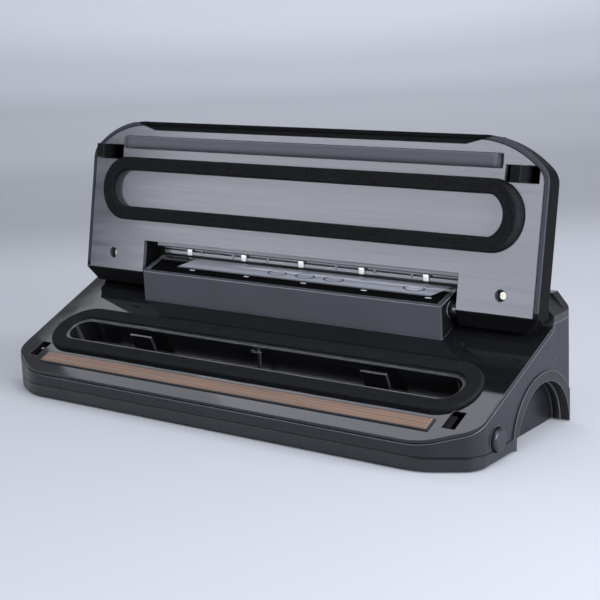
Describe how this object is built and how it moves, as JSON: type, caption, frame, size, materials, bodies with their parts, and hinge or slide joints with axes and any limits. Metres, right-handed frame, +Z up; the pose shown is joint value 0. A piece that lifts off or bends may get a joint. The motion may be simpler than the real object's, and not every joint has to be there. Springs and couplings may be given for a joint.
{
  "type": "vacuum sealer",
  "caption": "Countertop vacuum sealer with a hinged lid, foam-ringed vacuum trough, heat-sealing strip, touch control panel and push-button lid latches.",
  "frame": {"origin": "middle of the footprint, on the plane the feet stand on", "axes": "+X to the right along the width, +Y from the front edge to the rear, +Z up"},
  "size_m": [0.398, 0.1352, 0.1859],
  "materials": {
    "base_bottom": "satin moulded, dark charcoal",
    "base_housing": "satin moulded, charcoal",
    "deck_plate": "polished black",
    "niche": "satin moulded, charcoal",
    "rear_cover": "semi-gloss black",
    "cover_clips": "pale, bright",
    "control_housing": "polished graphite",
    "control_panel": "polished black overlay",
    "circuit_board": "green solder mask",
    "lower_gasket": "closed-cell foam, black",
    "lid_gasket": "closed-cell foam, black",
    "drip_tray": "polished black",
    "air_inlet": "grey, semi-gloss",
    "seal_bar": "fine-grained black",
    "heating_wires": "flat resistance wire",
    "seal_tape": "coated glass cloth, brown",
    "lid_outer": "semi-gloss black",
    "lid_liner": "polished graphite",
    "lid_screws": "plated",
    "silicone_strip": "grey silicone",
    "hook": "semi-gloss black",
    "release_button": "satin charcoal",
    "latch": "moulded black",
    "latch_spring": "drawn wire",
    "hinge_pin": "turned",
    "pump_motor": "drawn can",
    "motor_rotor": "laminated, on a steel shaft",
    "pump_head": "glass-filled, black",
    "pump_bracket": "moulded, black",
    "suction_hose": "grey",
    "transformer": "varnished laminations",
    "power_inlet": "moulded, black",
    "feet": "matt black",
    "base_screws": "zinc plated"
  },
  "bodies": {
    "base": {"base_bottom": "base_bottom", "base_housing": "base_housing", "deck_plate": "deck_plate", "niche_left": "niche", "niche_right": "niche", "rear_cover": "rear_cover", "cover_clips": "cover_clips", "control_housing": "control_housing", "control_panel": "control_panel", "panel_board": "circuit_board", "main_board": "circuit_board", "lower_gasket": "lower_gasket", "drip_tray": "drip_tray", "air_inlet": "air_inlet", "seal_bar": "seal_bar", "heating_wires": "heating_wires", "seal_tape": "seal_tape", "latch_spring_left": "latch_spring", "latch_spring_right": "latch_spring", "hinge_pin_left": "hinge_pin", "hinge_pin_right": "hinge_pin", "pump_motor": "pump_motor", "pump_head": "pump_head", "pump_bracket": "pump_bracket", "suction_hose": "suction_hose", "transformer": "transformer", "power_inlet": "power_inlet", "feet": "feet", "base_screws": "base_screws"},
    "lid": {"lid_outer": "lid_outer", "lid_liner": "lid_liner", "lid_screws": "lid_screws", "lid_gasket": "lid_gasket", "silicone_strip": "silicone_strip", "hook_left": "hook", "hook_right": "hook"},
    "latch_left": {"release_button_left": "release_button", "latch_left": "latch"},
    "latch_right": {"release_button_right": "release_button", "latch_right": "latch"},
    "rotor": {"motor_rotor": "motor_rotor"}
  },
  "joints": [
    {"name": "lid_hinge", "type": "hinge", "parent": "base", "child": "lid", "pos_m": [0, 0.0314, 0.07475], "axis": [1, 0, 0], "range_deg": [0, 124.6], "deforming": ["lower_gasket", "lid_gasket"]},
    {"name": "button_left", "type": "slide", "parent": "base", "child": "latch_left", "axis": [1, 0, 0], "range_m": [0, 0.003], "stiffness_N_per_m": 500, "deforming": ["latch_spring_left"]},
    {"name": "button_right", "type": "slide", "parent": "base", "child": "latch_right", "axis": [-1, 0, 0], "range_m": [0, 0.003], "stiffness_N_per_m": 500, "deforming": ["latch_spring_right"]},
    {"name": "motor_spin", "type": "hinge", "parent": "base", "child": "rotor", "pos_m": [0.06, 0.033, 0.022], "axis": [1, 0, 0], "continuous": true}
  ]
}
